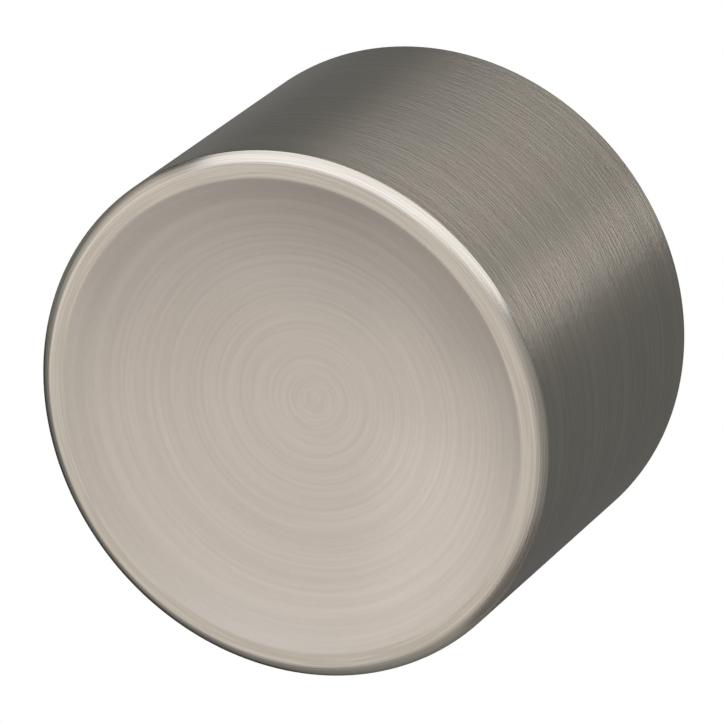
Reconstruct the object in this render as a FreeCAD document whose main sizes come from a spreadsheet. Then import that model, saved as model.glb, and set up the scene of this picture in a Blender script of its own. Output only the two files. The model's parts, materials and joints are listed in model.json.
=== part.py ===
import FreeCAD, Part
import enum
import math
import os

import Sketcher

# Cabinet knob, turned in one piece from round metal bar.
# Millimetres. The origin is the centre of the flat mounting face. The knob's axis is Y: the
# mounting face lies in the XZ plane and looks along +Y, and the finger dish looks along -Y.

# Driving sizes: name, value and what it measures.
SIZES = [
    ("knob_diameter", 30.0, "outside diameter of the plain cylinder"),
    ("knob_length", 20.0, "mounting face to the front of the rim"),
    ("rim_width", 1.5, "outside of the cylinder to the mouth of the dish"),
    ("bevel_width", 0.6, "outside of the cylinder to the inner edge of the rim's bevel"),
    ("bevel_depth", 0.5, "front of the rim to the outer edge of the bevel"),
    ("bevel_crown", 1.8, "radius to which the bevel's face is rounded"),
    ("bevel_edge_radius", 0.1, "edge break between the bevel and the cylinder"),
    ("dish_depth", 3.2, "front of the rim to the lowest point of the dish"),
    ("lip_radius", 0.1, "edge break between the rim's flat and the dish"),
    ("back_chamfer", 0.15, "edge break round the mounting face"),
    ("tap_drill_diameter", 3.3, "wall of the screw hole, tapping drill for M4 x 0.7"),
    ("screw_hole_depth", 10.0, "mounting face to the end of the full hole"),
    ("drill_point_angle", 118.0, "included angle of the cone at the hole's end, degrees"),
    ("countersink_diameter", 4.4, "lead-in of the screw hole at the mounting face"),
    ("countersink_angle", 90.0, "included angle of the lead-in, degrees"),
    ("cut_overrun", 1.0, "how far the dish's cutter starts in front of the rim"),
]

FULL_TURN = 360.0
EDGE_TOLERANCE = 1e-4

doc = FreeCAD.newDocument("cabinet_knob")


class Point(enum.IntEnum):
    """The numbers by which a sketch knows the points of its elements."""

    START = 1
    END = 2
    CENTRE = 3


class Axis(enum.IntEnum):
    """The numbers by which a sketch knows its own two axes."""

    HORIZONTAL = -1
    VERTICAL = -2


# The sketch's origin is the first point of its horizontal axis
ORIGIN_POINT = (Axis.HORIZONTAL, Point.START)


def write_sizes():
    """Puts every driving size in the sheet, under its own alias."""
    sheet = doc.addObject("Spreadsheet::Sheet", "Sizes")
    for row, (name, value, meaning) in enumerate(SIZES, start=1):
        sheet.set(f"A{row}", name)
        sheet.set(f"B{row}", str(value))
        sheet.set(f"C{row}", meaning)
        sheet.setAlias(f"B{row}", name)
    doc.recompute()
    return sheet


def origin_plane(body, role):
    """The body's own origin plane with this role."""
    return next(item for item in body.Origin.OriginFeatures if item.Role == role)


def new_sketch(body, name, role):
    """An empty sketch on one of the body's origin planes."""
    sketch = body.newObject("Sketcher::SketchObject", name)
    sketch.AttachmentSupport = [(origin_plane(body, role), "")]
    sketch.MapMode = "FlatFace"
    return sketch


def line(sketch, start, end):
    """A straight element between two points of the sketch."""
    ends = [FreeCAD.Vector(x, y, 0) for x, y in (start, end)]
    return sketch.addGeometry(Part.LineSegment(*ends), False)


def crowned_arc(sketch, start, end, radius):
    """An arc between two points, counter-clockwise, that bulges to the right of the way there."""
    first, last = (FreeCAD.Vector(x, y, 0) for x, y in (start, end))
    chord = last - first
    inward = FreeCAD.Vector(-chord.y, chord.x, 0).normalize()
    centre = (first + last) / 2 + inward * math.sqrt(radius ** 2 - (chord.Length / 2) ** 2)
    angles = [math.atan2(point.y - centre.y, point.x - centre.x) for point in (first, last)]
    circle = Part.Circle(centre, FreeCAD.Vector(0, 0, 1), radius)
    return sketch.addGeometry(Part.ArcOfCircle(circle, *angles), False)


def join(sketch, first, second):
    """Makes two points of the sketch one."""
    sketch.addConstraint(Sketcher.Constraint("Coincident", *first, *second))


def dimension(sketch, kind, name, expression, *where):
    """A named dimension of the sketch, bound to the sheet."""
    number = sketch.addConstraint(Sketcher.Constraint(kind, *where))
    sketch.renameConstraint(number, name)
    sketch.setExpression(f"Constraints.{name}", expression)


def add_blank(body, sizes):
    """The bar turned to size: a half section of the bevelled cylinder, revolved about the axis."""
    radius = sizes.knob_diameter / 2
    front = -sizes.knob_length
    bevel_start = (radius - sizes.bevel_width, front)
    bevel_end = (radius, front + sizes.bevel_depth)
    sketch = new_sketch(body, "blank_section", "XY_Plane")
    back_line = line(sketch, (0, 0), (radius, 0))
    side_line = line(sketch, (radius, 0), bevel_end)
    bevel = crowned_arc(sketch, bevel_start, bevel_end, sizes.bevel_crown)
    front_line = line(sketch, bevel_start, (0, front))
    axis_line = line(sketch, (0, front), (0, 0))
    join(sketch, ORIGIN_POINT, (back_line, Point.START))
    join(sketch, (back_line, Point.END), (side_line, Point.START))
    join(sketch, (side_line, Point.END), (bevel, Point.END))
    join(sketch, (bevel, Point.START), (front_line, Point.START))
    join(sketch, (front_line, Point.END), (axis_line, Point.START))
    join(sketch, (axis_line, Point.END), (back_line, Point.START))
    for level in (back_line, front_line):
        sketch.addConstraint(Sketcher.Constraint("Horizontal", level))
    for upright in (side_line, axis_line):
        sketch.addConstraint(Sketcher.Constraint("Vertical", upright))
    dimension(sketch, "DistanceX", "radius", "Sizes.knob_diameter / 2",
              back_line, Point.START, back_line, Point.END, radius)
    dimension(sketch, "DistanceY", "length", "Sizes.knob_length",
              bevel, Point.START, *ORIGIN_POINT, sizes.knob_length)
    dimension(sketch, "DistanceX", "bevel_width", "Sizes.bevel_width",
              bevel, Point.START, bevel, Point.END, sizes.bevel_width)
    dimension(sketch, "DistanceY", "bevel_depth", "Sizes.bevel_depth",
              bevel, Point.START, bevel, Point.END, sizes.bevel_depth)
    dimension(sketch, "Radius", "bevel_crown", "Sizes.bevel_crown", bevel, sizes.bevel_crown)

    blank = body.newObject("PartDesign::Revolution", "blank")
    blank.Profile = sketch
    blank.ReferenceAxis = (sketch, ["V_Axis"])
    blank.Angle = FULL_TURN
    sketch.Visibility = False
    return blank


def add_dish(body, sizes):
    """The finger dish: a shallow spherical hollow, turned into the front."""
    mouth = sizes.knob_diameter / 2 - sizes.rim_width
    depth = sizes.dish_depth
    front = -sizes.knob_length
    lowest = front + depth
    outside = front - sizes.cut_overrun
    sphere = (mouth * mouth + depth * depth) / (2 * depth)
    centre = FreeCAD.Vector(0, lowest - sphere, 0)
    mouth_angle = math.atan2(front - centre.y, mouth)

    sketch = new_sketch(body, "dish_section", "XY_Plane")
    circle = Part.Circle(centre, FreeCAD.Vector(0, 0, 1), sphere)
    bowl = sketch.addGeometry(Part.ArcOfCircle(circle, mouth_angle, math.pi / 2), False)
    outer_line = line(sketch, (mouth, front), (mouth, outside))
    open_line = line(sketch, (mouth, outside), (0, outside))
    axis_line = line(sketch, (0, outside), (0, lowest))
    join(sketch, (bowl, Point.START), (outer_line, Point.START))
    join(sketch, (outer_line, Point.END), (open_line, Point.START))
    join(sketch, (open_line, Point.END), (axis_line, Point.START))
    join(sketch, (axis_line, Point.END), (bowl, Point.END))
    sketch.addConstraint(Sketcher.Constraint("Vertical", outer_line))
    sketch.addConstraint(Sketcher.Constraint("Horizontal", open_line))
    for point in ((bowl, Point.CENTRE), (axis_line, Point.START), (axis_line, Point.END)):
        sketch.addConstraint(Sketcher.Constraint("PointOnObject", *point, Axis.VERTICAL))
    dimension(sketch, "DistanceX", "mouth_radius", "Sizes.knob_diameter / 2 - Sizes.rim_width",
              *ORIGIN_POINT, bowl, Point.START, mouth)
    dimension(sketch, "DistanceY", "mouth_place", "Sizes.knob_length",
              bowl, Point.START, *ORIGIN_POINT, -front)
    dimension(sketch, "DistanceY", "depth", "Sizes.dish_depth",
              bowl, Point.START, bowl, Point.END, depth)
    dimension(sketch, "DistanceY", "overrun", "Sizes.cut_overrun",
              outer_line, Point.END, outer_line, Point.START, sizes.cut_overrun)

    dish = body.newObject("PartDesign::Groove", "finger_dish")
    dish.Profile = sketch
    dish.ReferenceAxis = (sketch, ["V_Axis"])
    dish.Angle = FULL_TURN
    sketch.Visibility = False
    return dish


def round_edge(shape, radius, place):
    """The name of the edge that runs round the axis at this radius, at this place along Y."""
    for number, edge in enumerate(shape.Edges, start=1):
        # The lowest point of the dish counts as an edge of no length, with no curve
        if edge.Degenerated or not isinstance(edge.Curve, Part.Circle):
            continue
        curve = edge.Curve
        right_radius = abs(curve.Radius - radius) < EDGE_TOLERANCE
        if right_radius and abs(curve.Center.y - place) < EDGE_TOLERANCE:
            return f"Edge{number}"
    raise RuntimeError(f"no round edge of radius {radius} at {place}")


def dress_edge(body, base, kind, name, bindings, radius, place):
    """A fillet or a chamfer on one round edge, its sizes bound to the sheet."""
    doc.recompute()
    feature = body.newObject(kind, name)
    feature.Base = (base, [round_edge(base.Shape, radius, place)])
    for setting, expression in bindings.items():
        feature.setExpression(setting, expression)
    return feature


def add_screw_hole(body, sizes):
    """The blind hole for the fixing screw, drilled and countersunk on the axis."""
    doc.recompute()
    sketch = new_sketch(body, "screw_hole_centre", "XZ_Plane")
    drill = Part.Circle(FreeCAD.Vector(0, 0, 0), FreeCAD.Vector(0, 0, 1),
                        sizes.tap_drill_diameter / 2)
    circle = sketch.addGeometry(drill, False)
    join(sketch, ORIGIN_POINT, (circle, Point.CENTRE))
    dimension(sketch, "Diameter", "drill", "Sizes.tap_drill_diameter",
              circle, sizes.tap_drill_diameter)
    doc.recompute()

    hole = body.newObject("PartDesign::Hole", "screw_hole")
    hole.Profile = sketch
    # The sketch plane looks out of the front, so the hole is turned round to go into the metal
    hole.Reversed = True
    hole.DepthType = "Dimension"
    hole.DrillPoint = "Angled"
    hole.HoleCutType = "Countersink"
    hole.setExpression("Diameter", "Sizes.tap_drill_diameter")
    hole.setExpression("Depth", "Sizes.screw_hole_depth")
    hole.setExpression("DrillPointAngle", "Sizes.drill_point_angle")
    hole.setExpression("HoleCutDiameter", "Sizes.countersink_diameter")
    hole.setExpression("HoleCutCountersinkAngle", "Sizes.countersink_angle")
    sketch.Visibility = False
    return hole


def build_knob(sizes):
    """The whole knob, in the order in which it is machined."""
    body = doc.addObject("PartDesign::Body", "knob")
    body.Label = "knob"
    body.Placement = FreeCAD.Placement()
    radius = sizes.knob_diameter / 2
    front = -sizes.knob_length
    add_blank(body, sizes)
    dish = add_dish(body, sizes)
    rim = dress_edge(body, dish, "PartDesign::Fillet", "bevel_edge",
                     {"Radius": "Sizes.bevel_edge_radius"}, radius, front + sizes.bevel_depth)
    lip = dress_edge(body, rim, "PartDesign::Fillet", "dish_lip",
                     {"Radius": "Sizes.lip_radius"}, radius - sizes.rim_width, front)
    dress_edge(body, lip, "PartDesign::Chamfer", "back_edge",
               {"Size": "Sizes.back_chamfer"}, radius, 0)
    add_screw_hole(body, sizes)
    doc.recompute()
    return body


def expected_volume(sizes):
    """The knob's volume from its sizes, without the rim's bevel and the small edge breaks."""
    radius = sizes.knob_diameter / 2
    mouth = radius - sizes.rim_width
    depth = sizes.dish_depth
    drill = sizes.tap_drill_diameter / 2
    sink = sizes.countersink_diameter / 2
    point = drill / math.tan(math.radians(sizes.drill_point_angle / 2))
    sink_depth = (sink - drill) / math.tan(math.radians(sizes.countersink_angle / 2))
    cylinder = math.pi * radius ** 2 * sizes.knob_length
    dish = math.pi * depth * (3 * mouth ** 2 + depth ** 2) / 6
    bore = math.pi * drill ** 2 * (sizes.screw_hole_depth - sink_depth + point / 3)
    lead_in = math.pi * sink_depth * (sink ** 2 + sink * drill + drill ** 2) / 3
    return cylinder - dish - bore - lead_in


def check_model(body, sizes):
    """Stops if a feature failed, or cut nothing."""
    for item in doc.Objects:
        if "Invalid" in item.State or "Error" in item.State:
            raise RuntimeError(f"{item.Name} failed: {item.State}")
    shape = body.Shape
    if shape.isNull() or not shape.isValid():
        raise RuntimeError(f"{body.Label} is not a valid solid")
    if len(shape.Solids) != 1:
        raise RuntimeError(f"{body.Label} has {len(shape.Solids)} solids")
    # The bevel and the back edge lose at most a triangle, and a rounded edge less than its square
    radius = sizes.knob_diameter / 2
    triangles = sizes.bevel_width * sizes.bevel_depth / 2 + sizes.back_chamfer ** 2 / 2
    roundings = sizes.lip_radius ** 2 + sizes.bevel_edge_radius ** 2
    breaks = 2 * math.pi * radius * (triangles + roundings)
    short = expected_volume(sizes) - shape.Volume
    print(f"{body.Label}: volume {shape.Volume:.2f} mm3, edge breaks take off {short:.3f}")
    if not 0 <= short <= breaks:
        raise RuntimeError("a cut is missing or goes the wrong way")


sizes = write_sizes()
knob = build_knob(sizes)
check_model(knob, sizes)
os.makedirs("parts", exist_ok=True)
knob.Shape.exportStep(os.path.join("parts", f"{knob.Label}.step"))
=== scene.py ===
"""A turned cabinet knob in satin metal, seen from the front, a little to one side and from above.

Metres. The origin is the centre of the mounting face, the knob's axis is Y, its front faces -Y, +Z is up.
"""

import json
import math

import bpy
from mathutils import Matrix, Vector


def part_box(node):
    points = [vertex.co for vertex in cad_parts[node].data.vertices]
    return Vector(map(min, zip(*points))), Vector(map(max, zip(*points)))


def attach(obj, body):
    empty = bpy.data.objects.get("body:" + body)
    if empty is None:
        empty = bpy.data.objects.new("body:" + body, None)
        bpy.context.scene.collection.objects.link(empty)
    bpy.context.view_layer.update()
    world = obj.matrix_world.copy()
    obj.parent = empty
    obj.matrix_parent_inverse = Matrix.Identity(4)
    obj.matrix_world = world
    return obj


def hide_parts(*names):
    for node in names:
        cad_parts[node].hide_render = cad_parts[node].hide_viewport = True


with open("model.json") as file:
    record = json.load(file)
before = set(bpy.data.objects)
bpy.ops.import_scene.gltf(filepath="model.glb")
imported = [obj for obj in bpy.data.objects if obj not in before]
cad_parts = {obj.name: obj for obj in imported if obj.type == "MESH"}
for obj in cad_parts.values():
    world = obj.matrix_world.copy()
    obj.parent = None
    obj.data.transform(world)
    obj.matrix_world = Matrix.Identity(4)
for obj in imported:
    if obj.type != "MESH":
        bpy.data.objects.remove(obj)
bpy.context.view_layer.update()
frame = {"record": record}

MM = 0.001
SEGMENTS = 192

# Sizes of the turned body. The outer ones come from the CAD solid, the hole's from the record's mount.
# The rim's shoulder and the dish's lip are a touch softer than the solid's, for the gleam that they give.
box_low, box_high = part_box("knob")
RADIUS = box_high.x
LENGTH = -box_low.y
RIM_WIDTH = 1.4 * MM
SHOULDER_START = 0.78 * MM
SHOULDER_RADIUS = 0.45 * MM
SHOULDER_ANGLE = math.radians(27)
BEVEL_DEPTH = 0.5 * MM
BEVEL_CROWN = 2.0 * MM
BEVEL_EDGE_RADIUS = 0.1 * MM
DISH_DEPTH = 3.2 * MM
LIP_RADIUS = 0.5 * MM
BACK_CHAMFER = 0.15 * MM
COUNTERSINK_RADIUS = 2.2 * MM
screw_hole = next(m for m in frame["record"]["mounts"] if m["name"] == "screw_hole")
BORE_RADIUS = screw_hole["dims"]["r_mm"] * MM
BORE_TOP = screw_hole["pos_m"][1] + screw_hole["dims"]["length_mm"] * MM / 2
BORE_END = screw_hole["pos_m"][1] - screw_hole["dims"]["length_mm"] * MM / 2
DRILL_POINT_ANGLE = math.radians(118)

# The M4 thread that the tap leaves in the bore. The root is the flat at its deepest.
THREAD_PITCH = 0.7 * MM
THREAD_ROOT_RADIUS = 2.0 * MM
THREAD_ROOT_WIDTH = THREAD_PITCH / 8
THREAD_FLANK_ANGLE = math.radians(30)


# The outline that is turned round the axis

def straight(start, end, steps):
    """Points (radius, y) along a straight flank, each with its outward normal."""
    along = Vector(end) - Vector(start)
    normal = Vector((along.y, -along.x)).normalized()
    return [(Vector(start) + along * i / steps, normal) for i in range(steps + 1)]


def arc(centre, radius, start, end, steps, outward=1):
    """Points (radius, y) on a round flank between two angles, measured from the front of the axis."""
    flank = []
    for i in range(steps + 1):
        angle = start + (end - start) * i / steps
        direction = Vector((math.sin(angle), -math.cos(angle)))
        flank.append((Vector(centre) + direction * radius, direction * outward))
    return flank


def soft_rim():
    """The rim's outer half: a soft shoulder off the flat land, the crowned bevel and the rounded edge."""
    shoulder_centre = Vector((RADIUS - SHOULDER_START, -LENGTH + SHOULDER_RADIUS))
    shoulder = arc(shoulder_centre, SHOULDER_RADIUS, 0, SHOULDER_ANGLE, steps=8)
    joint, outward = shoulder[-1]
    crown_centre = joint - outward * BEVEL_CROWN
    # The edge's rounding touches the crown from inside and also touches the cylinder.
    edge_x = RADIUS - BEVEL_EDGE_RADIUS
    reach = BEVEL_CROWN - BEVEL_EDGE_RADIUS
    edge_y = crown_centre.y - math.sqrt(reach ** 2 - (edge_x - crown_centre.x) ** 2)
    edge_angle = math.asin((edge_x - crown_centre.x) / reach)
    bevel = arc(crown_centre, BEVEL_CROWN, SHOULDER_ANGLE, edge_angle, steps=12)
    edge = arc((edge_x, edge_y), BEVEL_EDGE_RADIUS, edge_angle, math.pi / 2, steps=5)
    return [shoulder, bevel, edge], edge_y


def knob_flanks():
    """The flanks of the outline in order, from the middle of the finger dish to the edge of the bore."""
    edge = RADIUS - RIM_WIDTH
    dish_radius = (edge ** 2 + DISH_DEPTH ** 2) / (2 * DISH_DEPTH)
    dish_centre = Vector((0, -LENGTH + DISH_DEPTH - dish_radius))
    lip_y = -LENGTH + LIP_RADIUS
    lip_reach = dish_radius + LIP_RADIUS
    lip_centre = Vector((math.sqrt(lip_reach ** 2 - (lip_y - dish_centre.y) ** 2), lip_y))
    lip_angle = math.asin(lip_centre.x / lip_reach)
    rim, side_start = soft_rim()
    land_start = (lip_centre.x, -LENGTH)
    land_end = (RADIUS - SHOULDER_START, -LENGTH)
    back_edge = RADIUS - BACK_CHAMFER
    return [
        arc(dish_centre, dish_radius, math.pi, math.pi - lip_angle, steps=40, outward=-1),
        arc(lip_centre, LIP_RADIUS, -lip_angle, 0, steps=8),
        straight(land_start, land_end, steps=3),
        *rim,
        straight((RADIUS, side_start), (RADIUS, -BACK_CHAMFER), steps=12),
        straight((RADIUS, -BACK_CHAMFER), (back_edge, 0), steps=1),
        straight((back_edge, 0), (COUNTERSINK_RADIUS, 0), steps=8),
        straight((COUNTERSINK_RADIUS, 0), (BORE_RADIUS, BORE_TOP), steps=2),
    ]


def turn(mesh, flanks):
    """Turns the flanks round the Y axis. Each face corner keeps its flank's own normal, for crisp edges."""
    spokes = [(math.cos(a), math.sin(a)) for a in (2 * math.pi * i / SEGMENTS for i in range(SEGMENTS))]
    rings = [[mesh.point(0, flanks[0][0][0].y, 0)] * SEGMENTS]
    for flank in flanks:
        for (_, start_normal), (point, end_normal) in zip(flank, flank[1:]):
            rings.append([mesh.point(point.x * across, point.y, point.x * up) for across, up in spokes])
            inner, outer = rings[-2:]
            for i in range(SEGMENTS):
                j = (i + 1) % SEGMENTS
                corners = [
                    (inner[i], start_normal, i),
                    (outer[i], end_normal, i),
                    (outer[j], end_normal, j),
                    (inner[j], start_normal, j),
                ]
                mesh.face([(v, (n.x * spokes[k][0], n.y, n.x * spokes[k][1])) for v, n, k in corners])
    return rings[-1]


class KnobSurface:
    """Points and faces of the knob, gathered before they become one mesh."""

    def __init__(self):
        self.points = []
        self.faces = []
        self.normals = []

    def point(self, x, y, z):
        self.points.append((x, y, z))
        return len(self.points) - 1

    def face(self, corners):
        """Takes (point, normal) corners. A repeated point is left out, and a zero normal keeps the mesh's
        automatic normal.
        """
        kept = [c for i, c in enumerate(corners) if c[0] != corners[i - 1][0]]
        if len(kept) > 2:
            self.faces.append([c[0] for c in kept])
            self.normals.extend(c[1] for c in kept)


def thread_row(mesh, phase_y, depth, edge_top, edge_end):
    """One line of the thread, which winds a full turn down the bore by one pitch."""
    row = []
    for i in range(SEGMENTS + 1):
        y = phase_y - THREAD_PITCH * i / SEGMENTS
        angle = 2 * math.pi * (i % SEGMENTS) / SEGMENTS
        if y >= BORE_TOP:
            row.append(edge_top[i % SEGMENTS])
        elif y <= BORE_END:
            row.append(edge_end[i % SEGMENTS])
        else:
            run_out = min(1, (BORE_TOP - y) / THREAD_PITCH, (y - BORE_END) / THREAD_PITCH)
            radius = BORE_RADIUS + depth * run_out
            row.append(mesh.point(radius * math.cos(angle), y, radius * math.sin(angle)))
    return row


def tapped_bore(mesh, edge_top):
    """The M4 thread as real ridges, and the cone that the drill leaves at the bore's end."""
    edge_end = []
    for i in range(SEGMENTS):
        angle = 2 * math.pi * i / SEGMENTS
        edge_end.append(mesh.point(BORE_RADIUS * math.cos(angle), BORE_END, BORE_RADIUS * math.sin(angle)))
    full = THREAD_ROOT_RADIUS - BORE_RADIUS
    flank = full * math.tan(THREAD_FLANK_ANGLE)
    root_end = THREAD_ROOT_WIDTH
    profile = [(0, full), (root_end, full), (root_end + flank, 0), (THREAD_PITCH - flank, 0)]
    # One turn more at each end, so that the thread runs out into both edges of the bore
    turns = math.ceil((BORE_TOP - BORE_END) / THREAD_PITCH) + 2
    rows = []
    for turn_number in range(turns):
        for below, depth in profile:
            phase_y = BORE_TOP + THREAD_PITCH * (1 - turn_number) - below
            rows.append(thread_row(mesh, phase_y, depth, edge_top, edge_end))
    # A row's last point lies on the first point of the row one pitch on.
    for k, row in enumerate(rows[: -len(profile)]):
        row[-1] = rows[k + len(profile)][0]
    rows = rows[: -len(profile)]
    flat = (0, 0, 0)
    for upper, lower in zip(rows, rows[1:]):
        for i in range(SEGMENTS):
            mesh.face([(upper[i], flat), (lower[i], flat), (lower[i + 1], flat), (upper[i + 1], flat)])
    tip = mesh.point(0, BORE_END - BORE_RADIUS / math.tan(DRILL_POINT_ANGLE / 2), 0)
    for i in range(SEGMENTS):
        mesh.face([(edge_end[i], flat), (tip, flat), (edge_end[(i + 1) % SEGMENTS], flat)])


def build_turned_knob():
    surface = KnobSurface()
    edge_top = turn(surface, knob_flanks())
    tapped_bore(surface, edge_top)
    data = bpy.data.meshes.new("turned_knob")
    data.from_pydata(surface.points, [], surface.faces)
    data.validate()
    data.shade_smooth()
    data.normals_split_custom_set(surface.normals)
    knob = bpy.data.objects.new("turned_knob", data)
    bpy.context.scene.collection.objects.link(knob)
    return knob


# Materials

def linear(hex_colour):
    """An sRGB hex colour as the linear RGBA that nodes take."""
    parts = [int(hex_colour[i : i + 2], 16) / 255 for i in (1, 3, 5)]
    return [p / 12.92 if p <= 0.04045 else ((p + 0.055) / 1.055) ** 2.4 for p in parts] + [1]


def add(tree, kind, inputs=None, **settings):
    """Adds a node. An input takes a number, a colour, an output, or a node, for that node's own output."""
    node = tree.nodes.new(kind)
    for name, value in settings.items():
        setattr(node, name, value)
    for name, value in (inputs or {}).items():
        if isinstance(value, bpy.types.Node):
            value = next(output for output in value.outputs if output.enabled)
        if isinstance(value, bpy.types.NodeSocket):
            tree.links.new(value, node.inputs[name])
        else:
            node.inputs[name].default_value = value
    return node


def new_material(name):
    material = bpy.data.materials.new(name)
    material.use_nodes = True
    material.node_tree.nodes.clear()
    return material, material.node_tree


# How each part of the knob was finished. A depth is what the bump is multiplied by. A spread is how much of
# the noise goes from the dark tone to the light one, so a small spread gives strong lines. The side is all
# that lies within a skin of the outer radius. The strokes' numbers are their shares in a mix of marks. The
# shine spreads across the marks, which a quarter turn of the shader's direction gives.
DARK_TONE = "#BBB1A7"
LIGHT_TONE = "#C6BCB2"
OUTER_TINT = (0.995, 1, 0.975, 1)
SCRATCH_DEPTH = 0.002 * MM
SIDE_DEPTH = 22
RIM_DEPTH = 4.5
SIDE_SKIN = 0.03 * MM
SHORT_STROKES = 0.6
STROKES_IN_BUMP = 0.66
STROKES_IN_TONE = 0.3
DISH_SPREAD = 0.2
RIM_SPREAD = 0.06
SIDE_SPREAD = 0.065
DISH_ROUGHNESS = 0.28
BEVEL_ROUGHNESS = 0.22
SIDE_ROUGHNESS = 0.33
SHINE_SPREAD = 0.35
SHINE_TURN = 0.25


def finish_masks(tree, from_axis, along):
    """Masks for the side, for all past the dish, for the rim and for its bevel: 1 there and 0 elsewhere."""
    front_edge = RADIUS - LENGTH
    dish_end = front_edge - RIM_WIDTH
    land_end = front_edge - SHOULDER_START
    bevel_end = front_edge + BEVEL_DEPTH
    on_side = add(tree, "ShaderNodeMath", {0: from_axis, 1: RADIUS - SIDE_SKIN}, operation="GREATER_THAN")
    past_dish = add(tree, "ShaderNodeMath", {0: along, 1: dish_end}, operation="GREATER_THAN")
    past_land = add(tree, "ShaderNodeMath", {0: along, 1: land_end}, operation="GREATER_THAN")
    past_bevel = add(tree, "ShaderNodeMath", {0: along, 1: bevel_end}, operation="GREATER_THAN")
    on_rim = add(tree, "ShaderNodeMath", {0: past_dish, 1: past_bevel}, operation="SUBTRACT")
    on_bevel = add(tree, "ShaderNodeMath", {0: past_land, 1: past_bevel}, operation="SUBTRACT")
    return on_side, past_dish, on_rim, on_bevel


def brush_marks(tree, spoke, along, per_mm, breaks, seed):
    """Marks round the axis, per_mm to the millimetre, that change about 6 * breaks times in a turn.

    A real brush leaves finer ones. These are drawn as coarse as they need to be to show.
    """
    around = add(tree, "ShaderNodeVectorMath", {0: spoke, "Scale": breaks}, operation="SCALE")
    count = add(tree, "ShaderNodeMath", {0: along, 1: per_mm / MM, 2: seed}, operation="MULTIPLY_ADD")
    up = add(tree, "ShaderNodeCombineXYZ", {"Y": count})
    at = add(tree, "ShaderNodeVectorMath", {0: around, 1: up}, operation="ADD")
    return add(tree, "ShaderNodeTexNoise", {"Vector": at, "Scale": 1, "Detail": 1, "Roughness": 0.6})


def satin_metal():
    """Solid metal in a warm nickel tone, turned on a lathe and then brushed while it spun.

    The dish shows faint full circles, the rim finer and stronger ones, and the side is brushed into fine
    broken strokes that glitter where it catches a light. All the marks run round the axis, so the shine
    spreads across them. The rim and the side are a little more yellow than the dish.
    """
    material, tree = new_material("satin_nickel_brushed_on_the_lathe")
    place = add(tree, "ShaderNodeTexCoord").outputs["Object"]
    x, y, z = add(tree, "ShaderNodeSeparateXYZ", {"Vector": place}).outputs
    across = add(tree, "ShaderNodeCombineXYZ", {"X": x, "Z": z})
    from_axis = add(tree, "ShaderNodeVectorMath", {0: across}, operation="LENGTH")
    spoke = add(tree, "ShaderNodeVectorMath", {0: across}, operation="NORMALIZE")
    # Radius plus y grows steadily along the outline, from the middle of the dish to the back of the side
    along = add(tree, "ShaderNodeMath", {0: from_axis, 1: y}, operation="ADD")
    on_side, past_dish, on_rim, on_bevel = finish_masks(tree, from_axis, along)

    circles = brush_marks(tree, spoke, along, per_mm=7, breaks=0.6, seed=0)
    fine_circles = brush_marks(tree, spoke, along, per_mm=10, breaks=2.5, seed=160)
    long_strokes = brush_marks(tree, spoke, along, per_mm=7, breaks=9, seed=40)
    short_strokes = brush_marks(tree, spoke, along, per_mm=8, breaks=32, seed=80)
    strokes = add(tree, "ShaderNodeMix", {"Factor": SHORT_STROKES, "A": long_strokes, "B": short_strokes})

    # The marks as cuts in the surface
    off_rim_cut = add(tree, "ShaderNodeMix", {"Factor": STROKES_IN_BUMP, "A": circles, "B": strokes})
    cut = add(tree, "ShaderNodeMix", {"Factor": on_rim, "A": off_rim_cut, "B": fine_circles})
    off_rim_depth = add(tree, "ShaderNodeMapRange", {"Value": on_side, "To Min": 1, "To Max": SIDE_DEPTH})
    depth = add(tree, "ShaderNodeMapRange", {"Value": on_rim, "To Min": off_rim_depth, "To Max": RIM_DEPTH})
    height = add(tree, "ShaderNodeMath", {0: cut, 1: depth}, operation="MULTIPLY")
    bump = add(tree, "ShaderNodeBump", {"Height": height, "Strength": 1, "Distance": SCRATCH_DEPTH})

    # The marks as lines of a darker and a lighter tone, round the middle of the noise
    off_rim_lines = add(tree, "ShaderNodeMix", {"Factor": STROKES_IN_TONE, "A": circles, "B": strokes})
    lines = add(tree, "ShaderNodeMix", {"Factor": on_rim, "A": off_rim_lines, "B": fine_circles})
    off_rim_spreads = {"Value": on_side, "To Min": DISH_SPREAD, "To Max": SIDE_SPREAD}
    off_rim_spread = add(tree, "ShaderNodeMapRange", off_rim_spreads)
    spreads = {"Value": on_rim, "To Min": off_rim_spread, "To Max": RIM_SPREAD}
    spread = add(tree, "ShaderNodeMapRange", spreads)
    low = add(tree, "ShaderNodeMath", {0: 0.5, 1: spread}, operation="SUBTRACT")
    high = add(tree, "ShaderNodeMath", {0: 0.5, 1: spread}, operation="ADD")
    shade = add(tree, "ShaderNodeMapRange", {"Value": lines, "From Min": low, "From Max": high})
    tones = {"Factor": shade, "A": linear(DARK_TONE), "B": linear(LIGHT_TONE)}
    tone = add(tree, "ShaderNodeMix", tones, data_type="RGBA")
    tinted = {"Factor": past_dish, "A": tone, "B": OUTER_TINT}
    colour = add(tree, "ShaderNodeMix", tinted, data_type="RGBA", blend_type="MULTIPLY")

    off_bevel_grades = {"Value": on_side, "To Min": DISH_ROUGHNESS, "To Max": SIDE_ROUGHNESS}
    off_bevel = add(tree, "ShaderNodeMapRange", off_bevel_grades)
    grades = {"Value": on_bevel, "To Min": off_bevel, "To Max": BEVEL_ROUGHNESS}
    metal = {
        "Base Color": colour,
        "Metallic": 1,
        "Roughness": add(tree, "ShaderNodeMapRange", grades),
        "Anisotropic": SHINE_SPREAD,
        "Anisotropic Rotation": SHINE_TURN,
        "Normal": bump,
        "Tangent": add(tree, "ShaderNodeTangent", direction_type="RADIAL", axis="Y"),
    }
    add(tree, "ShaderNodeOutputMaterial", {"Surface": add(tree, "ShaderNodeBsdfPrincipled", metal)})
    return material


# The studio, a light tent round the knob. A level of 1 is the white of the background.

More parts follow.
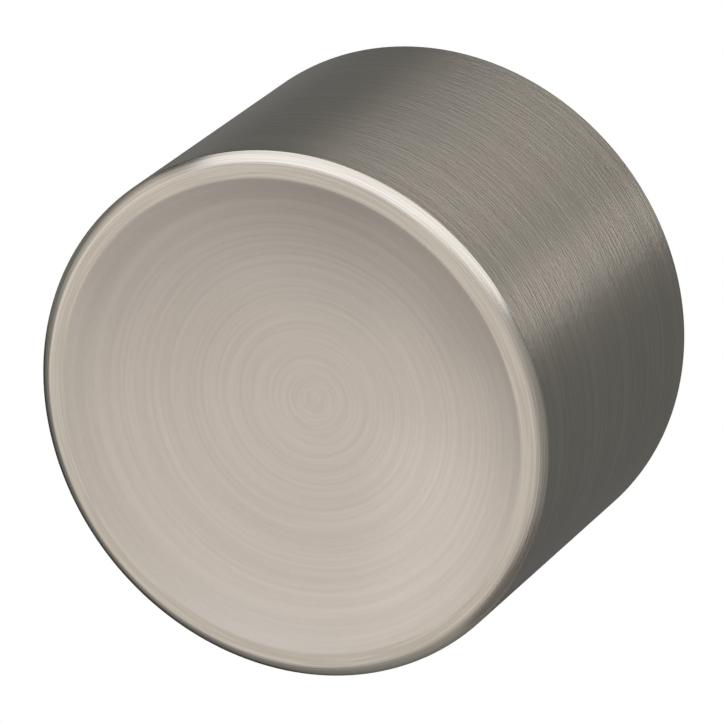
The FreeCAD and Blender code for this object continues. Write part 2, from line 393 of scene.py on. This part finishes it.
WHITE = (1, 1, 1, 1)
COOL_GREY = (0.96, 1.02, 1.02, 1)
COOL_WHITE = (0.90, 0.98, 1.08, 1)
FLOOR_PAPER = "#F2F2F0"
FLOOR_GLOW = "#B0B0B0"
FILL_LEVEL = 0.5
PAPER_LEVEL = 0.94
TENT_SIDE = 0.6
TENT_FRONT = -1.6
TENT_BACK = 0.8
CARD_DISTANCE = 0.5
FLOOR_LEVEL = -1
FLOOR_REACH = 1.5


def seen_background(tree):
    """1 for what the camera, a reflection or glass sees, 0 for light that falls on things."""
    path = add(tree, "ShaderNodeLightPath").outputs
    straight_or_mirrored = {0: path["Is Camera Ray"], 1: path["Is Glossy Ray"]}
    seen = add(tree, "ShaderNodeMath", straight_or_mirrored, operation="MAXIMUM")
    return add(tree, "ShaderNodeMath", {0: seen, 1: path["Is Transmission Ray"]}, operation="MAXIMUM")


def white_studio():
    """White all round to the eye and in reflections, and a soft plain fill for the floor."""
    world = bpy.data.worlds.new("white_studio")
    bpy.context.scene.world = world
    world.use_nodes = True
    tree = world.node_tree
    tree.nodes.clear()
    levels = {"Value": seen_background(tree), "To Min": FILL_LEVEL, "To Max": 1}
    level = add(tree, "ShaderNodeMapRange", levels)
    sky = add(tree, "ShaderNodeBackground", {"Color": WHITE, "Strength": level})
    add(tree, "ShaderNodeOutputWorld", {"Surface": sky})


def panel(name, corners, material):
    """A flat panel of the studio, through four corners."""
    data = bpy.data.meshes.new(name)
    data.from_pydata(corners, [], [(0, 1, 2, 3)])
    data.materials.append(material)
    made = bpy.data.objects.new(name, data)
    bpy.context.scene.collection.objects.link(made)
    return made


def pale_floor():
    """Matt paper that takes a shadow, and that looks as pale as the background beside it."""
    material, tree = new_material("pale_matt_paper")
    paper = add(tree, "ShaderNodeBsdfDiffuse", {"Color": linear(FLOOR_PAPER)})
    glow = add(tree, "ShaderNodeEmission", {"Color": linear(FLOOR_GLOW), "Strength": seen_background(tree)})
    add(tree, "ShaderNodeOutputMaterial", {"Surface": add(tree, "ShaderNodeAddShader", {0: paper, 1: glow})})
    reach, z = FLOOR_REACH, FLOOR_LEVEL
    corners = [(-reach, -reach, z), (reach, -reach, z), (reach, reach, z), (-reach, reach, z)]
    panel("floor", corners, material)


def fading_glow(name, start_y, end_y, levels, tints, curve):
    """Light that a card gives off. It goes from one level and tint to another along the card's own Y."""
    material, tree = new_material(name)
    place = add(tree, "ShaderNodeTexCoord").outputs["Object"]
    y = add(tree, "ShaderNodeSeparateXYZ", {"Vector": place}).outputs["Y"]
    ends = {"Value": y, "From Min": start_y, "From Max": end_y}
    fade = add(tree, "ShaderNodeMapRange", ends, interpolation_type=curve)
    level = add(tree, "ShaderNodeMapRange", {"Value": fade, "To Min": levels[0], "To Max": levels[1]})
    tint = add(tree, "ShaderNodeMix", {"Factor": fade, "A": tints[0], "B": tints[1]}, data_type="RGBA")
    glow = add(tree, "ShaderNodeEmission", {"Color": tint, "Strength": level})
    add(tree, "ShaderNodeOutputMaterial", {"Surface": glow})
    return material


def tent_wall(name, corners, pale_until, dark_from, dark):
    """A wall of the tent, which only reflections see: pale in front and dark behind, with a soft change."""
    levels = (PAPER_LEVEL, dark)
    glow = fading_glow(name, pale_until, dark_from, levels, (WHITE, COOL_GREY), "SMOOTHSTEP")
    wall = panel(name, corners, glow)
    wall.visible_camera = False
    wall.visible_diffuse = False
    wall.visible_shadow = False


def side_wall(name, x, top, **fade):
    front, back, low = TENT_FRONT, TENT_BACK, -TENT_SIDE
    tent_wall(name, [(x, front, low), (x, back, low), (x, back, top), (x, front, top)], **fade)


def facing_card(name, azimuth, polar, half_width, half_height, levels, front_tint=WHITE):
    """A flat card turned to the knob: a softbox where it is bright, a black card where it is dark.

    Polar is from straight in front and azimuth from +X up to +Z, in degrees. The half sizes are as seen
    from one metre, and the levels are at the card's front edge and at its rear edge.
    """
    turned, tilt = math.radians(azimuth), math.radians(polar)
    away = Vector((math.sin(tilt) * math.cos(turned), -math.cos(tilt), math.sin(tilt) * math.sin(turned)))
    side = Vector((math.sin(turned), 0, -math.cos(turned)))
    width, height = half_width * CARD_DISTANCE, half_height * CARD_DISTANCE
    corners = [(-width, -height, 0), (width, -height, 0), (width, height, 0), (-width, height, 0)]
    card = panel(name, corners, fading_glow(name, -height, height, levels, (front_tint, WHITE), "LINEAR"))
    facing = Matrix((side, away.cross(side), away)).transposed().to_4x4()
    card.matrix_world = Matrix.Translation(away * CARD_DISTANCE) @ facing
    card.visible_camera = False
    card.visible_shadow = False


def light_studio():
    """The light that the metal shows: pale all round in front, a softbox overhead, dark walls behind."""
    white_studio()
    pale_floor()
    side, front, back, reach = TENT_SIDE, TENT_FRONT, TENT_BACK, FLOOR_REACH
    side_wall("left_wall", -side, top=0.31, pale_until=-0.24, dark_from=-0.05, dark=0.23)
    side_wall("right_wall", side, top=0.48, pale_until=-1.37, dark_from=0.08, dark=0.19)
    table = [(-side, front, -side), (side, front, -side), (side, back, -side), (-side, back, -side)]
    tent_wall("table", table, pale_until=-0.9, dark_from=0.4, dark=0.1)
    ahead = [(-side, front, -side), (side, front, -side), (side, front, side), (-side, front, side)]
    tent_wall("front_wall", ahead, pale_until=0, dark_from=back, dark=PAPER_LEVEL)
    rear = [(-side, back, -side), (side, back, -side), (side, back, side), (-side, back, side)]
    tent_wall("rear_wall", rear, pale_until=front, dark_from=0, dark=0.165)
    roof = [(-reach, front, side), (reach, front, side), (reach, reach, side), (-reach, reach, side)]
    tent_wall("roof", roof, pale_until=-0.9, dark_from=0.1, dark=0.02)
    facing_card("overhead_softbox", 85, 67, 1.28, 0.73, levels=(2.0, 1.02), front_tint=COOL_WHITE)
    facing_card("left_bounce", 180, 50, 0.34, 0.26, levels=(1.12, 1.12))
    facing_card("rear_softbox", 70, 128, 0.69, 0.34, levels=(0.79, 0.79))
    facing_card("rear_strip", 21, 125, 0.13, 0.38, levels=(1.1, 1.1))
    facing_card("low_front_card", 278, 38, 0.3, 0.34, levels=(0.9, 0.69))
    facing_card("low_left_card", 224, 75, 0.17, 0.23, levels=(0.72, 0.45))
    facing_card("low_right_card", 300, 68, 0.3, 0.25, levels=(0.2, 0.2))
    facing_card("low_rear_card", 222, 125, 0.5, 0.45, levels=(0.03, 0.03))
    facing_card("rear_card", 223, 149, 0.18, 0.18, levels=(0, 0))


# The camera. The lens is long and stands off the axis to the right and above.

LENS_PX = 7200
FRAME_PX = 724
SENSOR_MM = 36
CAMERA_AZIMUTH = 24.07
CAMERA_ELEVATION = 20.67
CAMERA_DISTANCE = 388.1 * MM
NEAREST_SEEN = 10 * MM
# The point on the axis that the distance is measured from, and the pixel of the frame where it shows
AIM_POINT = Vector((0, -19.3 * MM, 0))
AIM_PX = (294.2, 414.5)


def place_camera():
    azimuth, elevation = math.radians(CAMERA_AZIMUTH), math.radians(CAMERA_ELEVATION)
    level_back = Vector((math.sin(azimuth), -math.cos(azimuth), 0))
    back = level_back * math.cos(elevation) + Vector((0, 0, math.sin(elevation)))
    right = Vector((math.cos(azimuth), math.sin(azimuth), 0))
    up = back.cross(right)
    aside = right * (AIM_PX[0] - FRAME_PX / 2) + up * (FRAME_PX / 2 - AIM_PX[1])
    data = bpy.data.cameras.new("camera")
    data.sensor_width = SENSOR_MM
    data.lens = SENSOR_MM * LENS_PX / FRAME_PX
    data.clip_start = NEAREST_SEEN
    camera = bpy.data.objects.new("camera", data)
    stand = AIM_POINT + back * CAMERA_DISTANCE - aside * CAMERA_DISTANCE / LENS_PX
    camera.matrix_world = Matrix.Translation(stand) @ Matrix((right, up, back)).transposed().to_4x4()
    bpy.context.scene.collection.objects.link(camera)
    bpy.context.scene.camera = camera


turned_knob = build_turned_knob()
turned_knob.data.materials.append(satin_metal())
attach(turned_knob, "root")
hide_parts("knob")

light_studio()
place_camera()
bpy.context.scene.view_settings.view_transform = "Standard"
